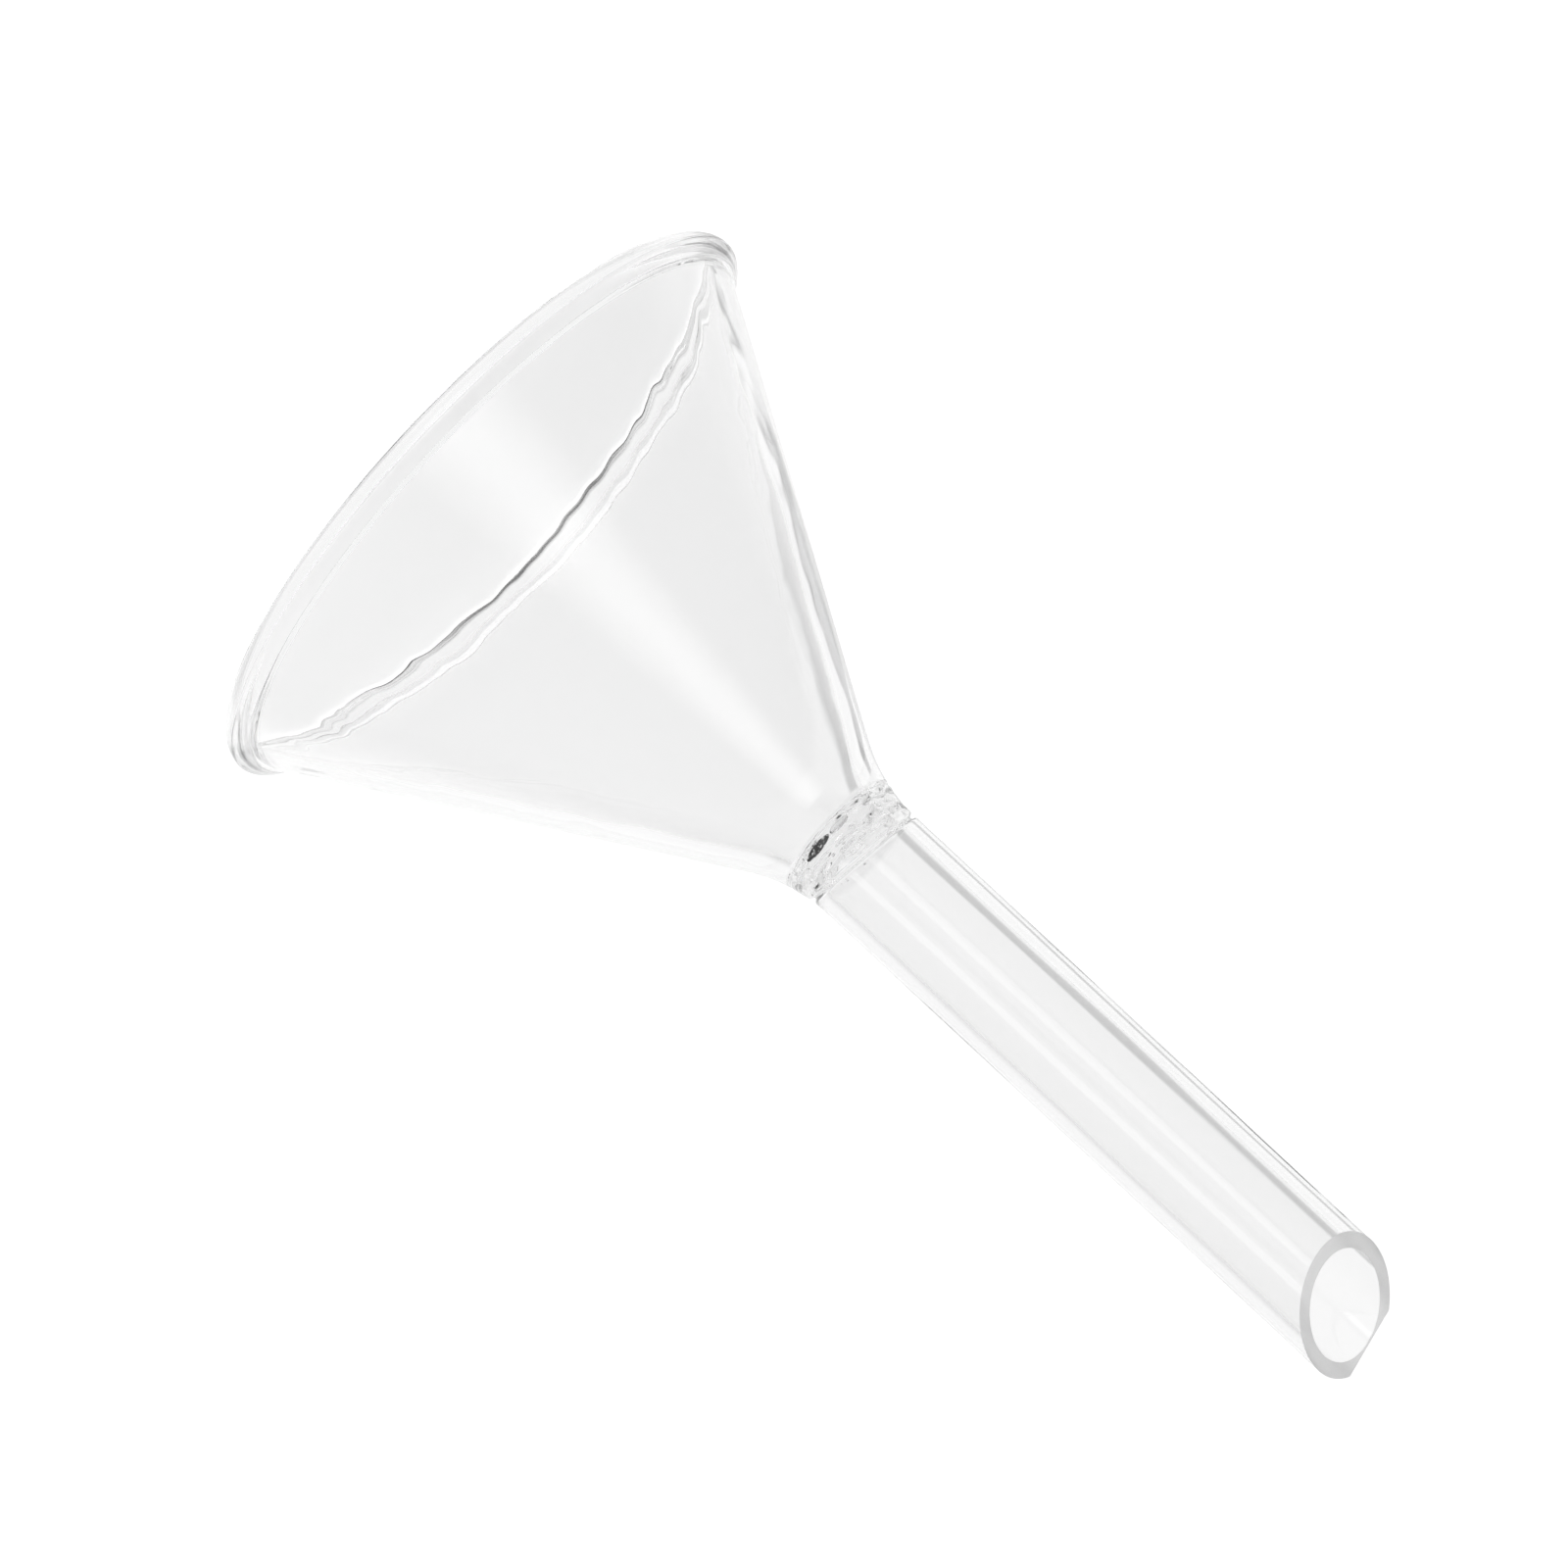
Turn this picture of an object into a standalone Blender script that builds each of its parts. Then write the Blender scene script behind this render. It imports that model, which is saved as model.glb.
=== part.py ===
"""Glass filter funnel: a cone with a beaded mouth, flame sealed to a short stem cut on the slant.

Frame: metres, +Z up. The funnel stands mouth down on its bead, as it is put away on a bench.
The origin is the centre of the mouth, and +Z runs up through the neck to the stem's tip.
The slanted cut leaves the stem longest on its +X side.

The four pieces are turned from profiles of (radius, height) points, which all follow the same two
lines: the outer face and the inner face of the glass, from the mouth to the stem.
"""

import math

import bmesh
import bpy
from mathutils import Vector

# Driving dimensions, in metres and radians.
MOUTH_OD = 0.060  # over the bead
BEAD_HEIGHT = 0.0031  # mouth to the foot of the bead, where the cone starts
BEAD_STEP = 0.0017  # how far the bead stands out past the cone at its foot
BEAD_INNER_STEP = 0.0006  # how far the bead stands into the bowl past the cone's inner face
MOUTH_ROUND = 0.0010  # radius of the bead's outer edge at the mouth
MOUTH_INNER_ROUND = 0.0008  # radius of the bead's inner edge at the mouth
BEAD_FOOT_ROUND = 0.0012  # radius of the bead's outer edge at its foot
CONE_HALF_ANGLE = math.radians(29.6)  # half of the nominal 60 degree cone
CONE_WALL = 0.0014  # square to the glass
NECK_OUTER_FILLET = 0.0157  # radius of the outer face from cone to stem
NECK_INNER_FILLET = 0.0080  # radius of the inner face from cone to bore
SEAL_LENGTH = 0.0033  # height of the ring of glass that joins cone and stem
STEM_OD = 0.0110
STEM_BORE = 0.0085
STEM_LENGTH = 0.0600  # top of the seal to the tip
TIP_CUT_ANGLE = math.radians(33.7)  # between the ground face and a square cut

# Clearance between pieces that are fused in the real glass.
SEAM_GAP = 0.0003

# Smoothness of the round surfaces.
TURN_STEPS = 72
EDGE_STEPS = 5
FILLET_STEPS = 8

GLASS_COLOUR = (0.90, 0.91, 0.91, 1.0)
GLASS_IOR = 1.47
GROUND_COLOUR = (0.72, 0.73, 0.73, 1.0)
SEAL_COLOUR = (0.80, 0.81, 0.81, 1.0)


class WallLine:
    """One face of the glass in section: a cone line, a fillet and the straight line of the stem."""

    def __init__(self, foot_radius, foot_height, stem_radius, fillet):
        self.slope = math.tan(CONE_HALF_ANGLE)
        self.foot_radius = foot_radius
        self.foot_height = foot_height
        self.stem_radius = stem_radius
        self.fillet = fillet
        self.corner = foot_height + (foot_radius - stem_radius) / self.slope
        tangent = fillet * math.tan(CONE_HALF_ANGLE / 2)
        self.fillet_start = self.corner - tangent * math.cos(CONE_HALF_ANGLE)
        self.fillet_end = self.corner + tangent

    def radius(self, height):
        """Radius of this face at a height."""
        if height >= self.fillet_end:
            return self.stem_radius
        if height <= self.fillet_start:
            return self.foot_radius - (height - self.foot_height) * self.slope
        drop = self.fillet_end - height
        return self.stem_radius + self.fillet - math.sqrt(self.fillet**2 - drop**2)

    def points(self, low, high):
        """Points (radius, height) from low to high, with steps only along the fillet."""
        heights = [low]
        for step in range(FILLET_STEPS + 1):
            share = step / FILLET_STEPS
            height = self.fillet_start + share * (self.fillet_end - self.fillet_start)
            if low < height < high:
                heights.append(height)
        heights.append(high)
        return [(self.radius(height), height) for height in heights]


BEAD_FOOT_OUTER_RADIUS = MOUTH_OD / 2 - BEAD_STEP
CONE_WALL_ACROSS = CONE_WALL / math.cos(CONE_HALF_ANGLE)  # measured level

OUTER_LINE = WallLine(BEAD_FOOT_OUTER_RADIUS, BEAD_HEIGHT, STEM_OD / 2, NECK_OUTER_FILLET)
INNER_LINE = WallLine(
    BEAD_FOOT_OUTER_RADIUS - CONE_WALL_ACROSS, BEAD_HEIGHT, STEM_BORE / 2, NECK_INNER_FILLET
)

# Heights where the pieces meet, and where the stem ends.
CONE_TOP = OUTER_LINE.corner
SEAL_TOP = CONE_TOP + SEAL_LENGTH
TIP_HEIGHT = SEAL_TOP + STEM_LENGTH
CUT_MIDDLE_HEIGHT = TIP_HEIGHT - STEM_OD / 2 * math.tan(TIP_CUT_ANGLE)


def clear_scene():
    """Remove what is in the scene, so that the funnel stands alone."""
    for item in list(bpy.data.objects):
        bpy.data.objects.remove(item, do_unlink=True)


def glass_material(name, colour, roughness, transmission):
    """A Principled glass with its own colour and roughness."""
    material = bpy.data.materials.new(name)
    material.use_nodes = True
    shader = material.node_tree.nodes["Principled BSDF"]
    shader.inputs["Base Color"].default_value = colour
    shader.inputs["Roughness"].default_value = roughness
    shader.inputs["Metallic"].default_value = 0.0
    shader.inputs["IOR"].default_value = GLASS_IOR
    shader.inputs["Transmission Weight"].default_value = transmission
    material.diffuse_color = colour
    return material


def arc(centre_radius, centre_height, size, start, end):
    """Points of a round edge in section, from one angle to another in degrees."""
    points = []
    for step in range(EDGE_STEPS + 1):
        angle = math.radians(start + (end - start) * step / EDGE_STEPS)
        points.append(
            (centre_radius + size * math.cos(angle), centre_height + size * math.sin(angle))
        )
    return points


def turn(profile):
    """Spin a closed profile once about Z into a ring of glass."""
    mesh = bmesh.new()
    corners = [mesh.verts.new((radius, 0.0, height)) for radius, height in profile]
    edges = [mesh.edges.new(pair) for pair in zip(corners, corners[1:] + corners[:1])]
    bmesh.ops.spin(
        mesh,
        geom=corners + edges,
        cent=(0.0, 0.0, 0.0),
        axis=(0.0, 0.0, 1.0),
        angle=math.tau,
        steps=TURN_STEPS,
        use_merge=True,
    )
    bmesh.ops.remove_doubles(mesh, verts=mesh.verts[:], dist=1e-7)
    bmesh.ops.recalc_face_normals(mesh, faces=mesh.faces[:])
    return mesh


def finish(name, mesh, material):
    """Turn the bmesh into a named object with smooth round faces and its own material."""
    data = bpy.data.meshes.new(name)
    mesh.to_mesh(data)
    mesh.free()
    data.materials.append(material)
    data.shade_smooth()
    data.set_sharp_from_angle(angle=math.radians(40))
    piece = bpy.data.objects.new(name, data)
    bpy.context.scene.collection.objects.link(piece)
    return piece


def make_rim_bead():
    """The thick rolled edge of the mouth, with the narrow flat land that the funnel stands on."""
    widest = MOUTH_OD / 2
    top = BEAD_HEIGHT - SEAM_GAP / 2
    inner_face = INNER_LINE.radius(MOUTH_INNER_ROUND) - BEAD_INNER_STEP
    profile = arc(
        inner_face + MOUTH_INNER_ROUND, MOUTH_INNER_ROUND, MOUTH_INNER_ROUND, 180, 270
    )
    profile += arc(widest - MOUTH_ROUND, MOUTH_ROUND, MOUTH_ROUND, 270, 360)
    profile += arc(widest - BEAD_FOOT_ROUND, top - BEAD_FOOT_ROUND, BEAD_FOOT_ROUND, 0, 90)
    profile += [(INNER_LINE.radius(top), top)]
    material = glass_material("rim_glass", GLASS_COLOUR, 0.03, 0.95)
    return finish("rim_bead", turn(profile), material)


def make_cone():
    """The bowl: a thin even wall from the foot of the bead up to the seal."""
    low = BEAD_HEIGHT + SEAM_GAP / 2
    high = CONE_TOP - SEAM_GAP / 2
    profile = OUTER_LINE.points(low, high) + INNER_LINE.points(low, high)[::-1]
    material = glass_material("cone_glass", GLASS_COLOUR, 0.02, 0.97)
    return finish("cone", turn(profile), material)


def make_stem_seal():
    """The ring of worked glass where the cone was fused to the stem."""
    low = CONE_TOP + SEAM_GAP / 2
    high = SEAL_TOP - SEAM_GAP / 2
    profile = OUTER_LINE.points(low, high) + INNER_LINE.points(low, high)[::-1]
    material = glass_material("seal_glass", SEAL_COLOUR, 0.10, 0.85)
    return finish("stem_seal", turn(profile), material)


def make_stem():
    """The drawn tube, cut on the slant and ground flat, longest on its +X side."""
    low = SEAL_TOP + SEAM_GAP / 2
    high = TIP_HEIGHT + STEM_OD
    profile = OUTER_LINE.points(low, high) + INNER_LINE.points(low, high)[::-1]
    tube = turn(profile)
    bmesh.ops.bisect_plane(
        tube,
        geom=tube.verts[:] + tube.edges[:] + tube.faces[:],
        plane_co=Vector((0.0, 0.0, CUT_MIDDLE_HEIGHT)),
        plane_no=Vector((-math.sin(TIP_CUT_ANGLE), 0.0, math.cos(TIP_CUT_ANGLE))),
        clear_outer=True,
    )
    open_edges = [edge for edge in tube.edges if edge.is_boundary]
    ground = bmesh.ops.bridge_loops(tube, edges=open_edges)["faces"]
    bmesh.ops.recalc_face_normals(tube, faces=tube.faces[:])
    for face in ground:
        face.material_index = 1
    stem = finish("stem", tube, glass_material("stem_glass", GLASS_COLOUR, 0.02, 0.97))
    stem.data.materials.append(glass_material("ground_glass", GROUND_COLOUR, 0.55, 0.40))
    return stem


clear_scene()
make_rim_bead()
make_cone()
make_stem_seal()
make_stem()
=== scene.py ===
import math
import random

import bpy
from mathutils import Matrix, Vector


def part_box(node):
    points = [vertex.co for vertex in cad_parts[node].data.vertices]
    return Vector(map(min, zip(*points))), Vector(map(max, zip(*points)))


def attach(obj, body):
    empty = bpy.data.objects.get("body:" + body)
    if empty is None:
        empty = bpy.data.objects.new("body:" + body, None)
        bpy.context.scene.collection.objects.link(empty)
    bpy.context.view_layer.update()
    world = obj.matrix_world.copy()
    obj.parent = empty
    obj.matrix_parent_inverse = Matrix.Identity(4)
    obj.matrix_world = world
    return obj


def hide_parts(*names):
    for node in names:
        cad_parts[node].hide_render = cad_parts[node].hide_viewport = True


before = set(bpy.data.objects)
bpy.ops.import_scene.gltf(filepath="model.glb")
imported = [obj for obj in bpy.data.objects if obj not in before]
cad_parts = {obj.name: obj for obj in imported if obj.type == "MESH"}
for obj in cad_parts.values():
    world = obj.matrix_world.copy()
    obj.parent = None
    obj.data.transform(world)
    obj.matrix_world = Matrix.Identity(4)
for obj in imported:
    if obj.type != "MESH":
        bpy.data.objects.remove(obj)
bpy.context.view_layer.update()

# ---------------------------------------------------------------------------------------
# Cone. The bowl is a thin wall of clear borosilicate glass at sixty degrees, blown into a
# cone mould. Both faces keep a slow waviness from the mould, and the wall thickens a little
# towards the neck. It is fused to the rim at its mouth and to the seal at its neck.
# ---------------------------------------------------------------------------------------
MOUTH_SEAM = (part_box("rim_bead")[1].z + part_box("cone")[0].z) / 2
NECK_SEAM = (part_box("cone")[1].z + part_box("stem_seal")[0].z) / 2
OUTER_HALF_ANGLE = math.radians(29.6)
INNER_HALF_ANGLE = math.radians(30.05)
MOUTH_WALL = 0.0014
MOUTH_OUTER_RADIUS = 0.0283
MOUTH_INNER_RADIUS = MOUTH_OUTER_RADIUS - MOUTH_WALL / math.cos(OUTER_HALF_ANGLE)
PIPE_OUTER_RADIUS = 0.0055
PIPE_BORE_RADIUS = 0.00425
NECK_OUTER_FILLET = 0.0157
NECK_INNER_FILLET = 0.0080
CONE_RINGS = 90
MOUTH_FADE = 0.003  # the waviness fades out over this length at the mouth
NECK_FADE = (0.009, 0.001)  # and between these two distances below the neck
TURN_STEPS = 384
WELD_DISTANCE = 1e-6
SEAM_REACH = 0.0003  # how far from its seam a ring's edge may lie
SEAM_PLAY = 0.00005  # the same for a face of the closed end
LEVEL_NORMAL = 0.9  # a face whose normal is this upright is level
GLASS_INDEX = 1.47
RELIEF_HEIGHT = 0.0001
SMOOTH_ANGLE = math.radians(35)


def face_line(mouth_radius, half_angle, pipe_radius, fillet):
    """Radius of one face of the glass at a height: a cone line, a fillet, then the pipe."""
    slope = math.tan(half_angle)
    corner = MOUTH_SEAM + (mouth_radius - pipe_radius) / slope
    tangent = fillet * math.tan(half_angle / 2)
    fillet_start = corner - tangent * math.cos(half_angle)
    fillet_end = corner + tangent

    def radius(height):
        if height >= fillet_end:
            return pipe_radius
        if height <= fillet_start:
            return mouth_radius - (height - MOUTH_SEAM) * slope
        return pipe_radius + fillet - math.sqrt(fillet**2 - (fillet_end - height) ** 2)

    return radius


outer_face = face_line(
    MOUTH_OUTER_RADIUS, OUTER_HALF_ANGLE, PIPE_OUTER_RADIUS, NECK_OUTER_FILLET
)
inner_face = face_line(
    MOUTH_INNER_RADIUS, INNER_HALF_ANGLE, PIPE_BORE_RADIUS, NECK_INNER_FILLET
)


def face_outline(face, start, end, rings):
    """Points (radius, height) along one face of the glass, from start to end."""
    heights = [start + (end - start) * ring / rings for ring in range(rings + 1)]
    return [(face(height), height) for height in heights]


def pick(piece):
    """Make one piece the only one selected, and the active one."""
    bpy.ops.object.select_all(action="DESELECT")
    piece.select_set(True)
    bpy.context.view_layer.objects.active = piece


def turn_skin(name, outline):
    """Draw an outline point by point in the XZ plane and turn it into an open round skin."""
    bpy.ops.object.select_all(action="DESELECT")
    bpy.ops.mesh.primitive_plane_add(size=0.001, location=(0, 0, 0))
    skin = bpy.context.object
    skin.name = name
    bpy.ops.object.mode_set(mode="EDIT")
    bpy.ops.mesh.select_all(action="SELECT")
    bpy.ops.mesh.merge(type="CENTER")
    bpy.ops.transform.translate(value=(outline[0][0], 0, outline[0][1]))
    for here, there in zip(outline, outline[1:]):
        step = (there[0] - here[0], 0, there[1] - here[1])
        bpy.ops.mesh.extrude_region_move(TRANSFORM_OT_translate={"value": step})
    bpy.ops.object.mode_set(mode="OBJECT")
    bpy.ops.object.transform_apply(location=True, rotation=False, scale=False)
    lathe = skin.modifiers.new("lathe", "SCREW")
    lathe.axis = "Z"
    lathe.steps = TURN_STEPS
    lathe.render_steps = TURN_STEPS
    lathe.use_merge_vertices = True
    lathe.merge_threshold = WELD_DISTANCE
    bpy.ops.object.modifier_apply(modifier="lathe")
    bpy.ops.object.mode_set(mode="EDIT")
    bpy.ops.mesh.select_all(action="SELECT")
    bpy.ops.mesh.remove_doubles(threshold=WELD_DISTANCE)
    bpy.ops.object.mode_set(mode="OBJECT")
    return skin


def move_glass(skin, label, depth, share_at, grain=None, stretch=(1, 1, 1), start=(0, 0, 0)):
    """Push a skin along its normals by a share set for each point, evenly or by a cloudy grain."""
    pick(skin)
    group = skin.vertex_groups.new(name=label)
    for point in skin.data.vertices:
        group.add([point.index], share_at(point.co), "REPLACE")
    layer = skin.modifiers.new(label, "DISPLACE")
    layer.vertex_group = group.name
    layer.strength = depth
    layer.mid_level = 0.0
    if grain:
        cloud = bpy.data.textures.new(label, "CLOUDS")
        cloud.noise_scale = grain
        cloud.noise_depth = 1
        ruler = bpy.data.objects.new(label + "_ruler", None)
        ruler.location = start
        ruler.scale = stretch
        bpy.context.scene.collection.objects.link(ruler)
        bpy.context.view_layer.update()
        layer.texture = cloud
        layer.texture_coords = "OBJECT"
        layer.texture_coords_object = ruler
        layer.mid_level = 0.5
    bpy.ops.object.modifier_apply(modifier=label)
    if grain:
        bpy.data.objects.remove(ruler, do_unlink=True)
    skin.vertex_groups.clear()


def ease(value, start, end):
    """A soft step from 0 at start to 1 at end."""
    share = min(1.0, max(0.0, (value - start) / (end - start)))
    return share * share * (3 - 2 * share)


def bridge_loops_at(piece, height):
    """Close the ring between the two open edges of a piece that lie near a height."""
    pick(piece)
    bpy.ops.object.mode_set(mode="EDIT")
    bpy.ops.mesh.select_mode(type="EDGE")
    bpy.ops.mesh.select_all(action="DESELECT")
    bpy.ops.mesh.select_non_manifold(extend=False, use_wire=False, use_boundary=True)
    bpy.ops.object.mode_set(mode="OBJECT")
    points = piece.data.vertices
    for edge in piece.data.edges:
        near = all(abs(points[corner].co.z - height) < SEAM_REACH for corner in edge.vertices)
        edge.select = edge.select and near
    bpy.ops.object.mode_set(mode="EDIT")
    bpy.ops.mesh.bridge_edge_loops()
    bpy.ops.mesh.select_mode(type="VERT")
    bpy.ops.object.mode_set(mode="OBJECT")


def join_skins(piece, other):
    """Make two skins one mesh."""
    bpy.ops.object.select_all(action="DESELECT")
    other.select_set(True)
    piece.select_set(True)
    bpy.context.view_layer.objects.active = piece
    bpy.ops.object.join()


def face_outwards(piece):
    """Turn all faces of a closed wall outwards and shade its round faces smooth."""
    pick(piece)
    bpy.ops.object.mode_set(mode="EDIT")
    bpy.ops.mesh.select_all(action="SELECT")
    bpy.ops.mesh.normals_make_consistent(inside=False)
    bpy.ops.object.mode_set(mode="OBJECT")
    bpy.ops.object.shade_smooth_by_angle(angle=SMOOTH_ANGLE)


def socket(group, name, kind, way, default=None):
    """Add a named input or output to a shader group."""
    made = group.interface.new_socket(name=name, in_out=way, socket_type=kind)
    if default is not None:
        made.default_value = default


def start_material(name):
    """A new material and its shader."""
    material = bpy.data.materials.new(name)
    material.use_nodes = True
    return material, material.node_tree.nodes["Principled BSDF"]


def seeds_and_cord():
    """Shader group for blown glass: seeds are tiny bubbles, cord is the streaky waviness."""
    group = bpy.data.node_groups.new("seeds_and_cord", "ShaderNodeTree")
    socket(group, "Glass Colour", "NodeSocketColor", "INPUT", (0.95, 0.95, 0.95, 1))
    socket(group, "Seed Colour", "NodeSocketColor", "INPUT", (0.6, 0.6, 0.6, 1))
    socket(group, "Seeds per Metre", "NodeSocketFloat", "INPUT", 300.0)
    socket(group, "Seed Size", "NodeSocketFloat", "INPUT", 0.04)
    socket(group, "Seed Share", "NodeSocketFloat", "INPUT", 0.15)
    socket(group, "Cord Scale", "NodeSocketFloat", "INPUT", 300.0)
    socket(group, "Cord Stretch", "NodeSocketVector", "INPUT", (1, 1, 1))
    socket(group, "Cord Height", "NodeSocketFloat", "INPUT", 0.3)
    socket(group, "Colour", "NodeSocketColor", "OUTPUT")
    socket(group, "Height", "NodeSocketFloat", "OUTPUT")
    nodes = group.nodes
    links = group.links
    given = nodes.new("NodeGroupInput")
    result = nodes.new("NodeGroupOutput")
    place = nodes.new("ShaderNodeTexCoord")

    seeds = nodes.new("ShaderNodeTexVoronoi")
    seeds.feature = "F1"
    links.new(place.outputs["Object"], seeds.inputs["Vector"])
    links.new(given.outputs["Seeds per Metre"], seeds.inputs["Scale"])
    dot = nodes.new("ShaderNodeMapRange")
    dot.interpolation_type = "SMOOTHSTEP"
    dot.inputs["To Min"].default_value = 1.0
    dot.inputs["To Max"].default_value = 0.0
    links.new(seeds.outputs["Distance"], dot.inputs["Value"])
    links.new(given.outputs["Seed Size"], dot.inputs["From Max"])
    split = nodes.new("ShaderNodeSeparateColor")
    links.new(seeds.outputs["Color"], split.inputs["Color"])
    kept = nodes.new("ShaderNodeMath")
    kept.operation = "LESS_THAN"
    links.new(split.outputs["Red"], kept.inputs[0])
    links.new(given.outputs["Seed Share"], kept.inputs[1])
    shown = nodes.new("ShaderNodeMath")
    shown.operation = "MULTIPLY"
    links.new(dot.outputs["Result"], shown.inputs[0])
    links.new(kept.outputs["Value"], shown.inputs[1])
    tone = nodes.new("ShaderNodeMix")
    tone.data_type = "RGBA"
    links.new(shown.outputs["Value"], tone.inputs[0])
    links.new(given.outputs["Glass Colour"], tone.inputs[6])
    links.new(given.outputs["Seed Colour"], tone.inputs[7])
    links.new(tone.outputs[2], result.inputs["Colour"])

    stretched = nodes.new("ShaderNodeVectorMath")
    stretched.operation = "MULTIPLY"
    links.new(place.outputs["Object"], stretched.inputs[0])
    links.new(given.outputs["Cord Stretch"], stretched.inputs[1])
    cord = nodes.new("ShaderNodeTexNoise")
    cord.inputs["Detail"].default_value = 2.0
    cord.inputs["Roughness"].default_value = 0.4
    links.new(stretched.outputs["Vector"], cord.inputs["Vector"])
    links.new(given.outputs["Cord Scale"], cord.inputs["Scale"])
    raised = nodes.new("ShaderNodeMath")
    raised.operation = "MULTIPLY_ADD"
    links.new(cord.outputs["Fac"], raised.inputs[0])
    links.new(given.outputs["Cord Height"], raised.inputs[1])
    links.new(shown.outputs["Value"], raised.inputs[2])
    links.new(raised.outputs["Value"], result.inputs["Height"])
    return group


blown_surface = seeds_and_cord()


def clear_glass(name, relief, **settings):
    """Clear glass whose colour and relief come from the seeds and cord group."""
    material, shader = start_material(name)
    nodes = material.node_tree.nodes
    links = material.node_tree.links
    shader.inputs["Roughness"].default_value = 0.0
    shader.inputs["IOR"].default_value = GLASS_INDEX
    shader.inputs["Transmission Weight"].default_value = 1.0
    surface = nodes.new("ShaderNodeGroup")
    surface.node_tree = blown_surface
    for socket_name, value in settings.items():
        surface.inputs[socket_name.replace("_", " ")].default_value = value
    bump = nodes.new("ShaderNodeBump")
    bump.inputs["Strength"].default_value = relief
    bump.inputs["Distance"].default_value = RELIEF_HEIGHT
    links.new(surface.outputs["Colour"], shader.inputs["Base Color"])
    links.new(surface.outputs["Height"], bump.inputs["Height"])
    links.new(bump.outputs["Normal"], shader.inputs["Normal"])
    return material


def fused_joint(name):
    """The plane where two pieces are fused: the glass runs through, so nothing shows there."""
    material, shader = start_material(name)
    shader.inputs["Alpha"].default_value = 0.0
    return material


def dress_glass(piece, glass, seams):
    """Give a piece its glass, and the see-through material on its fused ends."""
    piece.data.materials.clear()
    piece.data.materials.append(glass)
    piece.data.materials.append(fused_joint(piece.name + "_joint"))
    for face in piece.data.polygons:
        level = abs(face.normal.z) > LEVEL_NORMAL
        fused = level and any(abs(face.center.z - seam) < SEAM_PLAY for seam in seams)
        face.material_index = int(fused)


def bowl_share(point):
    """Full waviness in the bowl, fading out at both of its fused ends."""
    mouth_end = ease(point.z, MOUTH_SEAM, MOUTH_SEAM + MOUTH_FADE)
    neck_end = ease(point.z, NECK_SEAM - NECK_FADE[0], NECK_SEAM - NECK_FADE[1])
    return mouth_end * (1 - neck_end)


cone_wall = turn_skin("cone_wall", face_outline(outer_face, NECK_SEAM, MOUTH_SEAM, CONE_RINGS))
move_glass(
    cone_wall, "mould_wave", depth=0.00003, share_at=bowl_share, grain=0.006, start=(0.01, 0, 0)
)
cone_lining = turn_skin(
    "cone_lining", face_outline(inner_face, MOUTH_SEAM, NECK_SEAM, CONE_RINGS)
)
move_glass(
    cone_lining, "slow_wave", depth=0.00012, share_at=bowl_share, grain=0.014, start=(0, 0.02, 0)
)
move_glass(
    cone_lining, "fine_wave", depth=0.00005, share_at=bowl_share,
    grain=0.0035, stretch=(1, 1, 1.5), start=(0, 0, 0.03),
)
join_skins(cone_wall, cone_lining)
bridge_loops_at(cone_wall, MOUTH_SEAM)
bridge_loops_at(cone_wall, NECK_SEAM)
face_outwards(cone_wall)
cone_glass = clear_glass(
    "cone_glass_clear",
    relief=0.02,
    Glass_Colour=(0.935, 0.935, 0.935, 1),
    Seed_Colour=(0.72, 0.72, 0.72, 1),
    Seeds_per_Metre=140.0,
    Seed_Size=0.02,
    Seed_Share=0.12,
    Cord_Scale=180.0,
    Cord_Height=0.4,
)
dress_glass(cone_wall, cone_glass, (MOUTH_SEAM, NECK_SEAM))
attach(cone_wall, "root")
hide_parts("cone")

# ---------------------------------------------------------------------------------------
# Rim. The mouth's edge is rolled outwards in the flame and melted into a thick round bead,
# with a narrow flat land that the funnel stands on. On one side a fold stays open at its foot.
# ---------------------------------------------------------------------------------------
BEAD_MARGIN = 0.00004  # room for the bead's unevenness
BEAD_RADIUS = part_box("rim_bead")[1].x - BEAD_MARGIN
LAND_ROUND = 0.0016
LIP_ROUND = 0.0009
SHOULDER_STEPS = 26
LAND_STEPS = 14
LIP_STEPS = 12
INSIDE_STEPS = 8
LAND_FADE = (0.0001, 0.0006)  # the bead's unevenness fades out between these heights
FUSED_FADE = 0.0006  # and over this length at its fused end
FOLD_HEIGHT = MOUTH_SEAM - 0.00024
FOLD_WIDTH = 0.00011
FOLD_DEPTH = 0.00040
FOLD_SIDE = Vector((-0.80, -0.60))
FOLD_SPREAD = (-0.5, 0.0)  # shut on the far side of the mouth, wide open on this side
OUTSIDE_PLAY = 0.0001


def round_edge(centre_radius, centre_height, size, start, end, steps):
    """Points (radius, height) of a round edge in section, between two angles in degrees."""
    points = []
    for step in range(steps + 1):
        angle = math.radians(start + (end - start) * step / steps)
        across = centre_radius + size * math.cos(angle)
        points.append((across, centre_height + size * math.sin(angle)))
    return points


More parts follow.
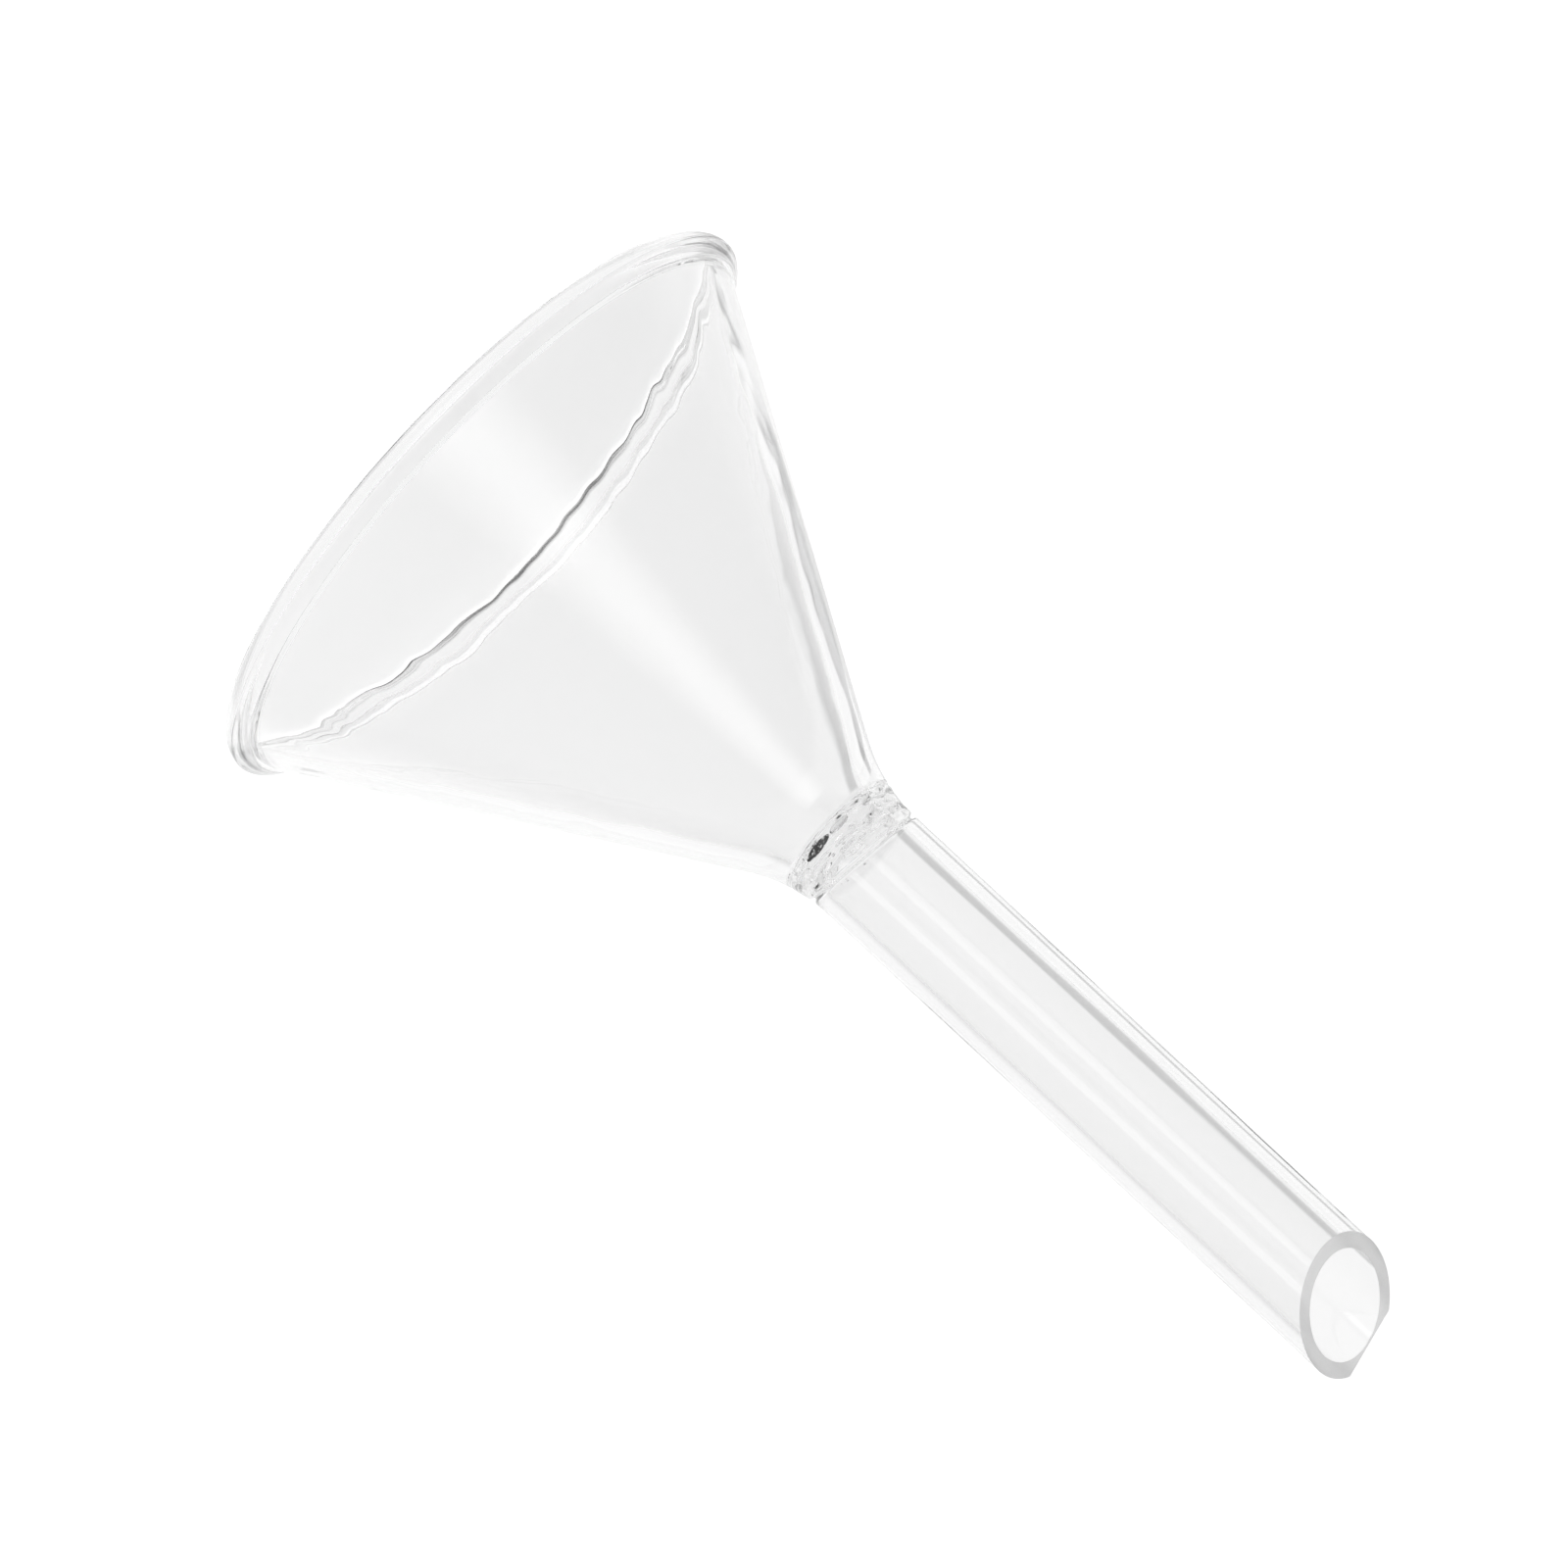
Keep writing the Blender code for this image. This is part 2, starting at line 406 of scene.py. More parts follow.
foot_radius = outer_face(MOUTH_SEAM)
lip_radius = inner_face(LIP_ROUND)
bead_outline = []
for step in range(SHOULDER_STEPS):
    share = step / SHOULDER_STEPS
    drop = share * (MOUTH_SEAM - LAND_ROUND)
    out = drop * math.tan(OUTER_HALF_ANGLE) * (1 - share) ** 2
    out += (BEAD_RADIUS - foot_radius) * ease(share, 0, 1)
    bead_outline.append((foot_radius + out, MOUTH_SEAM - drop))
bead_outline += round_edge(
    BEAD_RADIUS - LAND_ROUND, LAND_ROUND, LAND_ROUND, 0, -90, LAND_STEPS
)
bead_outline += round_edge(lip_radius + LIP_ROUND, LIP_ROUND, LIP_ROUND, 270, 180, LIP_STEPS)
for rise in range(1, INSIDE_STEPS + 1):
    height = LIP_ROUND + (MOUTH_SEAM - LIP_ROUND) * rise / INSIDE_STEPS
    bead_outline.append((inner_face(height), height))


def bead_share(point):
    """Full unevenness round the bead, none at its fused end or on its land."""
    fused_end = ease(point.z, MOUTH_SEAM - FUSED_FADE, MOUTH_SEAM)
    return (1 - fused_end) * ease(point.z, LAND_FADE[0], LAND_FADE[1])


def fold_share(point):
    """How open the fold under the bead's foot is: it is open on one side of the mouth only."""
    depth = math.exp(-(((point.z - FOLD_HEIGHT) / FOLD_WIDTH) ** 2))
    outside = point.xy.length > foot_radius - OUTSIDE_PLAY
    side = point.xy.normalized().dot(FOLD_SIDE)
    return depth * ease(side, FOLD_SPREAD[0], FOLD_SPREAD[1]) * outside


rim_roll = turn_skin("rim_roll", bead_outline)
move_glass(rim_roll, "open_fold", depth=-FOLD_DEPTH, share_at=fold_share)
move_glass(
    rim_roll, "rolled_unevenly", depth=0.00006, share_at=bead_share,
    grain=0.007, start=(0.03, 0.01, 0),
)
bridge_loops_at(rim_roll, MOUTH_SEAM)
face_outwards(rim_roll)
rim_glass = clear_glass(
    "rim_glass_clear",
    relief=0.03,
    Glass_Colour=(0.95, 0.95, 0.95, 1),
    Seed_Colour=(0.55, 0.55, 0.55, 1),
    Seeds_per_Metre=420.0,
    Seed_Size=0.05,
    Seed_Share=0.05,
    Cord_Scale=260.0,
    Cord_Height=0.4,
)
dress_glass(rim_roll, rim_glass, (MOUTH_SEAM,))
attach(rim_roll, "root")
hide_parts("rim_bead")

# ---------------------------------------------------------------------------------------
# Stem. A length of drawn tube, whose faces carry fine draw lines along it. Its tip is cut on
# the slant and ground flat on a wet stone, which leaves a matt grey face and a small chip.
# ---------------------------------------------------------------------------------------
SEAL_SEAM = (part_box("stem_seal")[1].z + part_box("stem")[0].z) / 2
TIP_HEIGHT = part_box("stem")[1].z
CUT_ANGLE = math.radians(33.7)
CUT_MIDDLE = TIP_HEIGHT - PIPE_OUTER_RADIUS * math.tan(CUT_ANGLE)
NECK_RINGS = 24
STEM_RINGS = 72
NECK_END = SEAL_SEAM + 0.002  # the rings lie close together up to here
SPARE_LENGTH = 0.008  # past the tip, cut off later
DRAW_FADE = 0.004


def stem_outline(face):
    """Points up one face of the tube, close together at the seal and wide apart above it."""
    near_seal = face_outline(face, SEAL_SEAM, NECK_END, NECK_RINGS)
    return near_seal + face_outline(face, NECK_END, TIP_HEIGHT + SPARE_LENGTH, STEM_RINGS)[1:]


def tube_share(point):
    """No draw lines in the seal, full draw lines along the tube."""
    return ease(point.z, SEAL_SEAM, SEAL_SEAM + DRAW_FADE)


# The worked glass of the seal ends in a lip that isn't level: it is highest on the -X side.
LIP_MIDDLE = 0.0464
LIP_LEAN = Vector((-0.26, -0.045))
LIP_WIDTH = 0.00019
LIP_CREASE = -0.00040  # on the outer face
LIP_RIDGE = 0.00020  # on the bore


def lip_share(point):
    """How near a point is to the crease at the end of the worked glass."""
    crease = LIP_MIDDLE + LIP_LEAN.dot(point.xy)
    return math.exp(-(((point.z - crease) / LIP_WIDTH) ** 2))


stem_tube = turn_skin("stem_tube", stem_outline(outer_face)[::-1])
move_glass(
    stem_tube, "draw_lines", depth=0.00002, share_at=tube_share,
    grain=0.0016, stretch=(1, 1, 14), start=(0.002, 0, 0),
)
move_glass(stem_tube, "lip_crease", depth=LIP_CREASE, share_at=lip_share)
stem_lining = turn_skin("stem_lining", stem_outline(inner_face))
move_glass(
    stem_lining, "bore_lines", depth=0.00003, share_at=tube_share,
    grain=0.0018, stretch=(1, 1, 14), start=(0, 0.005, 0),
)
move_glass(stem_lining, "lip_ridge", depth=LIP_RIDGE, share_at=lip_share)
join_skins(stem_tube, stem_lining)
bridge_loops_at(stem_tube, SEAL_SEAM)


def cut_flat(piece, place, normal, fill):
    """Cut a piece off at a plane, and close the cut: a filled outline, or a ring."""
    pick(piece)
    bpy.ops.object.mode_set(mode="EDIT")
    bpy.ops.mesh.select_all(action="SELECT")
    bpy.ops.mesh.bisect(
        plane_co=place,
        plane_no=normal,
        clear_outer=True,
        use_fill=fill,
        threshold=WELD_DISTANCE,
    )
    if not fill:
        bpy.ops.mesh.bridge_edge_loops()
    bpy.ops.object.mode_set(mode="OBJECT")


SAME_WAY = 0.999  # a face that points this nearly the way of a cut belongs to it
CUT_NORMAL = Vector((-math.sin(CUT_ANGLE), 0, math.cos(CUT_ANGLE)))
CHIP_PLACE = Vector((0.00372, 0.00406, 0.1048))
CHIP_NORMAL = Vector((0.16, 0.35, 0.92)).normalized()
cut_flat(stem_tube, (0, 0, CUT_MIDDLE), CUT_NORMAL, fill=False)
cut_flat(stem_tube, CHIP_PLACE, CHIP_NORMAL, fill=True)
face_outwards(stem_tube)


def ground_glass(name):
    """Glass ground on a wet stone: matt, grey and lightly scored."""
    material, shader = start_material(name)
    nodes = material.node_tree.nodes
    links = material.node_tree.links
    shader.inputs["Roughness"].default_value = 0.6
    shader.inputs["IOR"].default_value = GLASS_INDEX
    shader.inputs["Transmission Weight"].default_value = 0.2
    place = nodes.new("ShaderNodeTexCoord")
    grain = nodes.new("ShaderNodeTexNoise")
    grain.inputs["Scale"].default_value = 9000.0
    grain.inputs["Detail"].default_value = 3.0
    links.new(place.outputs["Object"], grain.inputs["Vector"])
    tone = nodes.new("ShaderNodeMix")
    tone.data_type = "RGBA"
    tone.inputs[6].default_value = (0.74, 0.74, 0.74, 1)
    tone.inputs[7].default_value = (0.86, 0.86, 0.86, 1)
    links.new(grain.outputs["Fac"], tone.inputs[0])
    links.new(tone.outputs[2], shader.inputs["Base Color"])
    bump = nodes.new("ShaderNodeBump")
    bump.inputs["Strength"].default_value = 0.3
    bump.inputs["Distance"].default_value = 0.00005
    links.new(grain.outputs["Fac"], bump.inputs["Height"])
    links.new(bump.outputs["Normal"], shader.inputs["Normal"])
    return material


stem_glass = clear_glass(
    "stem_glass_clear",
    relief=0.02,
    Glass_Colour=(0.93, 0.93, 0.93, 1),
    Seed_Colour=(0.55, 0.55, 0.55, 1),
    Seeds_per_Metre=330.0,
    Seed_Size=0.05,
    Seed_Share=0.04,
    Cord_Scale=500.0,
    Cord_Stretch=(1, 1, 0.06),
    Cord_Height=0.5,
)
dress_glass(stem_tube, stem_glass, (SEAL_SEAM,))
stem_tube.data.materials.append(ground_glass("stem_tip_ground"))
for face in stem_tube.data.polygons:
    ground = face.normal.dot(CUT_NORMAL) > SAME_WAY
    chipped = face.normal.dot(CHIP_NORMAL) > SAME_WAY
    if ground or chipped:
        face.material_index = 2
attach(stem_tube, "root")
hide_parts("stem")

# ---------------------------------------------------------------------------------------
# Seal. The ring of glass that was melted in the flame to join the cone to the tube. It is
# lumpy, with folds on its inner face, a crease at each end and air trapped in its wall: a row
# of fine bubbles, and flat pockets where the cone's edge was folded over the tube.
# ---------------------------------------------------------------------------------------
SEAL_RINGS = 44
SHOULDER = NECK_SEAM + 0.0003
SHOULDER_WIDTH = 0.00016
SHOULDER_FADE = 0.0002
WORKED_START = SHOULDER + 0.0003
WORKED_FADE = 0.0006


def shoulder_share(point):
    """How near a point is to the crease where the cone's edge was pressed on the tube."""
    crease = math.exp(-(((point.z - SHOULDER) / SHOULDER_WIDTH) ** 2))
    return crease * ease(point.z, NECK_SEAM, NECK_SEAM + SHOULDER_FADE)


def worked_share(point):
    """Full lumps between the two creases, none in the clean glass."""
    end = min(LIP_MIDDLE + LIP_LEAN.dot(point.xy), SEAL_SEAM)
    start = ease(point.z, NECK_SEAM, WORKED_START)
    return start * (1 - ease(point.z, end - WORKED_FADE, end))


seal_ring = turn_skin("seal_ring", face_outline(outer_face, SEAL_SEAM, NECK_SEAM, SEAL_RINGS))
move_glass(
    seal_ring, "outer_lumps", depth=0.00016, share_at=worked_share,
    grain=0.0024, stretch=(1, 1, 0.5), start=(0.004, 0, 0),
)
move_glass(seal_ring, "shoulder_crease", depth=-0.00020, share_at=shoulder_share)
move_glass(seal_ring, "lip_crease", depth=LIP_CREASE, share_at=lip_share)
seal_lining = turn_skin(
    "seal_lining", face_outline(inner_face, NECK_SEAM, SEAL_SEAM, SEAL_RINGS)
)
move_glass(
    seal_lining, "inner_folds", depth=0.0009, share_at=worked_share,
    grain=0.0022, stretch=(1, 1, 0.4), start=(0, 0.003, 0),
)
move_glass(seal_lining, "shoulder_fold", depth=0.00035, share_at=shoulder_share)
move_glass(seal_lining, "lip_ridge", depth=LIP_RIDGE, share_at=lip_share)
join_skins(seal_ring, seal_lining)
bridge_loops_at(seal_ring, NECK_SEAM)
bridge_loops_at(seal_ring, SEAL_SEAM)
face_outwards(seal_ring)


def trapped_air(name, turn, height, radius, size, tilt=0.0):
    """An egg-shaped pocket of air in the wall of the seal, whose faces point into the air."""
    bpy.ops.object.select_all(action="DESELECT")
    bpy.ops.mesh.primitive_ico_sphere_add(subdivisions=3, radius=1.0, location=(0, 0, 0))
    pocket = bpy.context.object
    pocket.name = name
    bpy.ops.object.mode_set(mode="EDIT")
    bpy.ops.mesh.select_all(action="SELECT")
    bpy.ops.transform.resize(value=size)
    bpy.ops.mesh.flip_normals()
    bpy.ops.object.mode_set(mode="OBJECT")
    turned = Matrix.Rotation(turn, 3, "Z") @ Matrix.Rotation(tilt, 3, "Y")
    pocket.rotation_euler = turned.to_euler()
    pocket.location = (radius * math.cos(turn), radius * math.sin(turn), height)
    bpy.ops.object.transform_apply(location=True, rotation=True, scale=True)
    bpy.ops.object.shade_smooth()
    return pocket


chance = random.Random(11)
WALL_MIDDLE = 0.00492
BUBBLE_COUNT = 34
BUBBLE_JITTER = 0.7  # of the step between two bubbles
BUBBLE_WIDTH = 0.00005
BUBBLE_WIDTH_SPREAD = 0.00007
BUBBLE_STRETCH = 1.6
BUBBLE_HEIGHT = 0.04545
BUBBLE_HEIGHT_SPREAD = 0.00035
BUBBLE_WALL_SPREAD = 0.0002
for number in range(BUBBLE_COUNT):
    turn = math.tau * (number + BUBBLE_JITTER * chance.random()) / BUBBLE_COUNT
    width = BUBBLE_WIDTH + BUBBLE_WIDTH_SPREAD * chance.random()
    height = BUBBLE_HEIGHT + BUBBLE_HEIGHT_SPREAD * chance.random()
    radius = WALL_MIDDLE + BUBBLE_WALL_SPREAD * (chance.random() - 0.5)
    size = (width, width * BUBBLE_STRETCH, width)
    join_skins(seal_ring, trapped_air("bubble", turn, height, radius, size))

# The pockets are long and flat, and tilted up and inwards.
POCKET_RISE = 0.00085
POCKET_WIDTH = 0.00048
POCKET_THICKNESS = 0.00010
POCKET_TILT = math.radians(36)
POCKET_TURNS = (239, 209, 172, 131, 84, 38, 352, 301)
POCKET_LENGTHS = (0.0015, 0.0010, 0.0006, 0.0011, 0.0007, 0.0012, 0.0006, 0.0010)
for turn, length in zip(POCKET_TURNS, POCKET_LENGTHS):
    pocket = trapped_air(
        "pocket",
        math.radians(turn),
        NECK_SEAM + POCKET_RISE,
        WALL_MIDDLE,
        (POCKET_WIDTH, length, POCKET_THICKNESS),
        POCKET_TILT,
    )
    join_skins(seal_ring, pocket)

seal_glass = clear_glass(
    "seal_glass_worked",
    relief=0.02,
    Glass_Colour=(0.87, 0.87, 0.87, 1),
    Seed_Colour=(0.25, 0.25, 0.25, 1),
    Seeds_per_Metre=900.0,
    Seed_Size=0.08,
    Seed_Share=0.03,
    Cord_Scale=900.0,
    Cord_Stretch=(1, 1, 2.5),
    Cord_Height=0.5,
)
dress_glass(seal_ring, seal_glass, (NECK_SEAM, SEAL_SEAM))


def fold_shade_skin(name):
    """Painted shade on the skin of a pocket: near black, with a few pale flecks."""
    material, shader = start_material(name)
    nodes = material.node_tree.nodes
    links = material.node_tree.links
    shader.inputs["Roughness"].default_value = 0.5
    place = nodes.new("ShaderNodeTexCoord")
    flecks = nodes.new("ShaderNodeTexNoise")
    flecks.inputs["Scale"].default_value = 4000.0
    flecks.inputs["Detail"].default_value = 1.0
    links.new(place.outputs["Object"], flecks.inputs["Vector"])
    tone = nodes.new("ShaderNodeMapRange")
    tone.inputs["From Min"].default_value = 0.56
    tone.inputs["From Max"].default_value = 0.66
    tone.inputs["To Min"].default_value = 0.02
    tone.inputs["To Max"].default_value = 0.80
    links.new(flecks.outputs["Fac"], tone.inputs["Value"])
    links.new(tone.outputs["Result"], shader.inputs["Base Color"])
    return material


# The longest pocket's skin is painted near black, as painted shade in the fold. Only trapped air
# has three-sided faces, and the bubbles lie higher than the pockets.
SHADED_RISE = 0.0005
SHADED_REACH = 0.0017
shaded_place = Vector((WALL_MIDDLE, 0, NECK_SEAM + POCKET_RISE))
shaded_place.rotate(Matrix.Rotation(math.radians(POCKET_TURNS[0]), 3, "Z"))
# Painted shade: the skin of the longest pocket is made near black.
seal_ring.data.materials.append(fold_shade_skin("seal_pocket_painted_shade"))
for face in seal_ring.data.polygons:
    apart = face.center - shaded_place
    in_pocket = abs(apart.z) < SHADED_RISE and apart.length < SHADED_REACH
    if len(face.vertices) == 3 and in_pocket:
        face.material_index = 2
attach(seal_ring, "root")
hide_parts("stem_seal")

# ---------------------------------------------------------------------------------------
# Camera. It looks at the funnel from a little under fifteen degrees above the bench, from far
# away with a long lens, and is rolled so that the stem points down to the right.
# ---------------------------------------------------------------------------------------
AZIMUTH = math.radians(-53.5)
ELEVATION = math.radians(14.6)
ROLL = math.radians(132.9)
CAMERA_DISTANCE = 5.0
PICTURE_WIDTH = 0.131
SENSOR_WIDTH = 36.0
AIM = Vector((0, 0, 0.037))
level_turn = Matrix.Rotation(AZIMUTH, 3, "Z") @ Matrix.Rotation(math.pi / 2 - ELEVATION, 3, "X")
to_camera = level_turn @ Vector((0, 0, 1))
bpy.ops.object.camera_add(
    location=AIM + to_camera * CAMERA_DISTANCE,
    rotation=(level_turn @ Matrix.Rotation(ROLL, 3, "Z")).to_euler(),
)
camera = bpy.context.object
camera.data.sensor_width = SENSOR_WIDTH
camera.data.lens = SENSOR_WIDTH * CAMERA_DISTANCE / PICTURE_WIDTH
camera.data.clip_end = 20
bpy.context.scene.camera = camera

# ---------------------------------------------------------------------------------------
# Floor. A light table: a pale matt panel, lit from below. Seen straight, it is even. The light
# that the glass bends comes from a panel with a dark gap behind the funnel on the right and a
# dimmer stretch on the left, which draw the dark lines down the stem and the cone.
# ---------------------------------------------------------------------------------------
FLOOR_SIZE = 16.0
FLOOR_HEIGHT = -0.0002
FLOOR_PALE = (0.85, 0.85, 0.85, 1)
PANEL_GLOW = 0.43
SEEN_SHARE = 1.25  # of the panel's glow, where it is seen straight
DISC_EDGE = (0.15, 0.18)  # the panel has no gap nearer to the funnel than this
# Left and right are the rolled camera's. Angles are in degrees to the left, from straight behind
# the funnel, and each pair says where a soft edge starts and ends.
GAP_LEFT = (-12.0, -16.0)
GAP_RIGHT = (-23.0, -29.0)
LEFT_DIM = (38.0, 62.0)
LEFT_SHARE = 0.5
TILT_REACH = 0.035  # round the funnel, the panel darkens from left to right over this length
RIGHT_TILT = 0.82
LEFT_TILT = 1.02
FOOT_FILL_LIGHT = 0.10  # painted light: a brighter ring just outside the bead, filling in the funnel's shadow on the panel
FOOT_EDGE = (0.028, 0.050)
BOWL_SHADOW_SHARE = 0.88  # painted shadow: the panel glows a little less inside the mouth, under the funnel
BOWL_EDGE = (0.0273, 0.0290)


def smooth_step(tree, value, start, end, low, high):
    """A shader node that goes softly from low to high as the value goes from start to end."""
    step = tree.nodes.new("ShaderNodeMapRange")
    step.interpolation_type = "SMOOTHSTEP"
    step.inputs["From Min"].default_value = min(start, end)
    step.inputs["From Max"].default_value = max(start, end)
    step.inputs["To Min"].default_value = low if start < end else high
    step.inputs["To Max"].default_value = high if start < end else low
    tree.links.new(value, step.inputs["Value"])
    return step.outputs["Result"]


def combine(tree, operation, first, second):
    """A shader node that combines two values."""
    maths = tree.nodes.new("ShaderNodeMath")
    maths.operation = operation
    tree.links.new(first, maths.inputs[0])
    if isinstance(second, float):
        maths.inputs[1].default_value = second
    else:
        tree.links.new(second, maths.inputs[1])
    return maths.outputs["Value"]


def view_frame(tree, way):
    """A direction or place on the table as it is seen: X to the left, Y to the back."""
    turn = tree.nodes.new("ShaderNodeVectorRotate")
    turn.rotation_type = "Z_AXIS"
    turn.inputs["Angle"].default_value = -AZIMUTH
    tree.links.new(way, turn.inputs["Vector"])
    parts = tree.nodes.new("ShaderNodeSeparateXYZ")
    tree.links.new(turn.outputs["Vector"], parts.inputs["Vector"])
    return parts.outputs


def lit_share(tree, way):
    """How lit the studio is in a direction round the funnel: 0 in the gap, 1 where it is full."""
    turned = view_frame(tree, way)
    depth = combine(tree, "ABSOLUTE", turned["Y"], 0.0)
    angle = combine(tree, "ARCTAN2", turned["X"], depth)
    angle = combine(tree, "MULTIPLY", angle, 180 / math.pi)
    left_of_gap = smooth_step(tree, angle, GAP_LEFT[0], GAP_LEFT[1], 1.0, 0.0)
    right_of_gap = smooth_step(tree, angle, GAP_RIGHT[0], GAP_RIGHT[1], 0.0, 1.0)
    left_dim = smooth_step(tree, angle, LEFT_DIM[0], LEFT_DIM[1], 1.0, LEFT_SHARE)
    beside_gap = combine(tree, "MAXIMUM", left_of_gap, right_of_gap)
    return combine(tree, "MULTIPLY", beside_gap, left_dim)


bpy.ops.object.select_all(action="DESELECT")
bpy.ops.mesh.primitive_plane_add(size=FLOOR_SIZE, location=(0, 0, FLOOR_HEIGHT))
floor = bpy.context.object
floor.name = "light_table"
panel, shader = start_material("pale_panel")
tree = panel.node_tree
shader.inputs["Base Color"].default_value = FLOOR_PALE
shader.inputs["Roughness"].default_value = 0.9
shader.inputs["Specular IOR Level"].default_value = 0.0
shader.inputs["Emission Color"].default_value = (1, 1, 1, 1)
place = tree.nodes.new("ShaderNodeTexCoord")
reach = tree.nodes.new("ShaderNodeVectorMath")
reach.operation = "LENGTH"
tree.links.new(place.outputs["Object"], reach.inputs[0])
disc = smooth_step(tree, reach.outputs["Value"], DISC_EDGE[0], DISC_EDGE[1], 1.0, 0.0)
lit = combine(tree, "MAXIMUM", disc, lit_share(tree, place.outputs["Object"]))
turned = view_frame(tree, place.outputs["Object"])
tilt = smooth_step(
    tree, turned["X"], -TILT_REACH, TILT_REACH, RIGHT_TILT - 1, LEFT_TILT - 1
)
tilt = combine(tree, "MULTIPLY", tilt, disc)
lit = combine(tree, "MULTIPLY", lit, combine(tree, "ADD", tilt, 1.0))
seen = tree.nodes.new("ShaderNodeLightPath").outputs["Is Camera Ray"]
seen = combine(tree, "MULTIPLY", seen, SEEN_SHARE)
glow = combine(tree, "MULTIPLY", combine(tree, "MAXIMUM", lit, seen), PANEL_GLOW)
# Painted light: the panel glows brighter in a ring just outside the bead, where the funnel's
# shadow would fall.
shadow_fill = smooth_step(tree, reach.outputs["Value"], FOOT_EDGE[0], FOOT_EDGE[1], FOOT_FILL_LIGHT, 0.0)
beyond_bead = smooth_step(tree, reach.outputs["Value"], BOWL_EDGE[0], BOWL_EDGE[1], 0.0, 1.0)
shadow_fill = combine(tree, "MULTIPLY", shadow_fill, beyond_bead)
# Painted shadow: the panel's glow is lowered inside the mouth, under the funnel.
bowl_shadow = smooth_step(tree, reach.outputs["Value"], BOWL_EDGE[0], BOWL_EDGE[1], BOWL_SHADOW_SHARE, 1.0)
glow = combine(tree, "MULTIPLY", combine(tree, "ADD", glow, shadow_fill), bowl_shadow)
tree.links.new(glow, shader.inputs["Emission Strength"])
floor.data.materials.append(panel)

# ---------------------------------------------------------------------------------------
# Studio light. A pale room with the same gap low down, dark overhead and white where it is
# seen straight. A large softbox with soft ends stands before the funnel, and its reflection
# is the broad streak down the cone. Two low strips make the two thin streaks down the stem.
# ---------------------------------------------------------------------------------------
ROOM_LIT = 1.04
ROOM_GAP = 0.42
ROOM_HIGH = 0.78
ROOM_OVERHEAD = 0.08
LOW_TO_HIGH = (0.25, 0.45)  # sines of the rise above the bench
HIGH_TO_OVERHEAD = (0.82, 0.96)
level_to_camera = Vector((to_camera.x, to_camera.y, 0)).normalized()

world = bpy.data.worlds.new("studio")
bpy.context.scene.world = world
world.use_nodes = True
tree = world.node_tree
way = tree.nodes.new("ShaderNodeTexCoord")
parts = tree.nodes.new("ShaderNodeSeparateXYZ")
tree.links.new(way.outputs["Generated"], parts.inputs["Vector"])
low = combine(tree, "MULTIPLY", lit_share(tree, way.outputs["Generated"]), ROOM_LIT - ROOM_GAP)
low = combine(tree, "ADD", low, ROOM_GAP)
low_part = smooth_step(tree, parts.outputs["Z"], LOW_TO_HIGH[0], LOW_TO_HIGH[1], 1.0, 0.0)
high_part = smooth_step(tree, parts.outputs["Z"], LOW_TO_HIGH[0], LOW_TO_HIGH[1], 0.0, ROOM_HIGH)
room = combine(tree, "ADD", combine(tree, "MULTIPLY", low, low_part), high_part)
overhead = smooth_step(
    tree, parts.outputs["Z"], HIGH_TO_OVERHEAD[0], HIGH_TO_OVERHEAD[1], 1.0,
    ROOM_OVERHEAD / ROOM_HIGH,
)
seen = tree.nodes.new("ShaderNodeLightPath").outputs["Is Camera Ray"]
room = combine(tree, "MAXIMUM", combine(tree, "MULTIPLY", room, overhead), seen)
tree.links.new(room, tree.nodes["Background"].inputs["Strength"])
tree.nodes["Background"].inputs["Color"].default_value = (1, 1, 1, 1)


def softbox(name, place, target, width, length, radiance):
    """A rectangular softbox, upright, that faces its target."""
    bpy.ops.object.light_add(type="AREA", location=place)
    light = bpy.context.object
    light.name = name
    light.data.shape = "RECTANGLE"
    light.data.size = width
    light.data.size_y = length
    light.data.energy = radiance * math.pi * width * length
    light.visible_camera = False
    z_axis = (Vector(place) - Vector(target)).normalized()
    x_axis = Vector((0, 0, 1)).cross(z_axis).normalized()
    y_axis = z_axis.cross(x_axis)
    light.rotation_euler = Matrix((x_axis, y_axis, z_axis)).transposed().to_euler()
    return light


